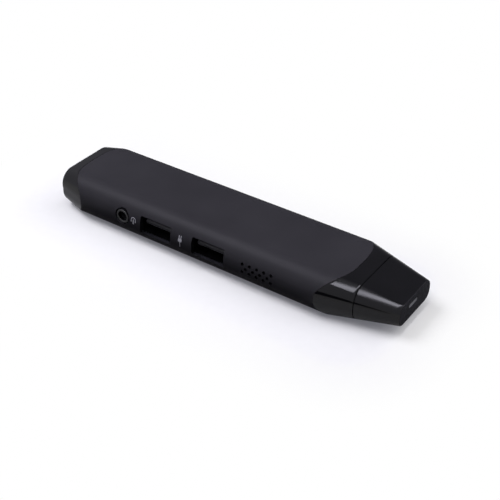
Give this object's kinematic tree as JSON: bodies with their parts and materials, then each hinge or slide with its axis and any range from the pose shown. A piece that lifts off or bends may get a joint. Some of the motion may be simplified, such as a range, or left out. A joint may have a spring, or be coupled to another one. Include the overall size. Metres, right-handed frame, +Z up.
{
  "type": "hdmi stick computer",
  "caption": "Slim stick computer: rounded matte sleeve, tapered gloss ends, pull-off cap over an HDMI plug, side USB and headset sockets, vent holes.",
  "frame": {"origin": "under the middle of the body, on the surface it lies on", "axes": "+X to the plug and its cap, -Y to the side with the USB sockets, +Z up"},
  "size_m": [0.138, 0.034, 0.015],
  "materials": {
    "soft_touch_black": "soft-touch matte",
    "gloss_black": "polished moulded",
    "moulded_black": "fine moulded",
    "nickel_steel": "nickel plated",
    "gold_contact": "gold flash",
    "grey_ring": "satin",
    "white_plastic": "satin",
    "clear_acrylic": "clear moulded",
    "board_green": "solder mask",
    "chip_black": "moulded epoxy",
    "copper": "rolled copper",
    "thermal_grey": "soft pad",
    "cable_black": "extruded jacket",
    "bronze": "sintered",
    "ferrite": "sintered"
  },
  "bodies": {
    "stick": {"sleeve": "soft_touch_black", "tail_cap": "gloss_black", "front_collar": "gloss_black", "hdmi_shell": "nickel_steel", "hdmi_insulator": "moulded_black", "hdmi_contacts": "gold_contact", "usb_rear_shell": "nickel_steel", "usb_rear_tongue": "moulded_black", "usb_rear_contacts": "gold_contact", "usb_front_shell": "nickel_steel", "usb_front_tongue": "moulded_black", "usb_front_contacts": "gold_contact", "jack_body": "moulded_black", "jack_ring": "grey_ring", "jack_contacts": "gold_contact", "micro_usb_shell": "nickel_steel", "micro_usb_tongue": "moulded_black", "micro_usb_contacts": "gold_contact", "switch_body": "moulded_black", "status_lamp": "white_plastic", "light_pipe": "clear_acrylic", "board_carrier": "moulded_black", "main_board": "board_green", "board_screws": "nickel_steel", "spreader_screws": "nickel_steel", "processor": "chip_black", "memory_chips": "chip_black", "storage_chip": "chip_black", "power_chip": "chip_black", "inductors": "chip_black", "radio_module": "nickel_steel", "aerial": "copper", "aerial_lead": "cable_black", "thermal_pad": "thermal_grey", "heat_spreader": "copper", "heatsink_fins": "copper", "fan_housing": "moulded_black", "fan_cover": "moulded_black", "fan_bearing": "bronze", "fan_stator": "copper"},
    "cap": {"hdmi_cap": "gloss_black"},
    "button": {"power_button": "soft_touch_black", "switch_plunger": "white_plastic"},
    "impeller": {"fan_impeller": "moulded_black", "fan_magnet": "ferrite", "fan_shaft": "nickel_steel"}
  },
  "joints": [
    {"name": "cap_pull", "type": "slide", "parent": "stick", "child": "cap", "axis": [1, 0, 0], "range_m": [0, 0.03]},
    {"name": "button_press", "type": "slide", "parent": "stick", "child": "button", "axis": [0, -1, 0], "range_m": [0, 0.0003], "stiffness_N_per_m": 2000, "springref_m": -0.0003},
    {"name": "fan_spin", "type": "hinge", "parent": "stick", "child": "impeller", "pos_m": [0.0199, -0.00243, 0.0095], "axis": [0, 0, 1], "continuous": true}
  ]
}
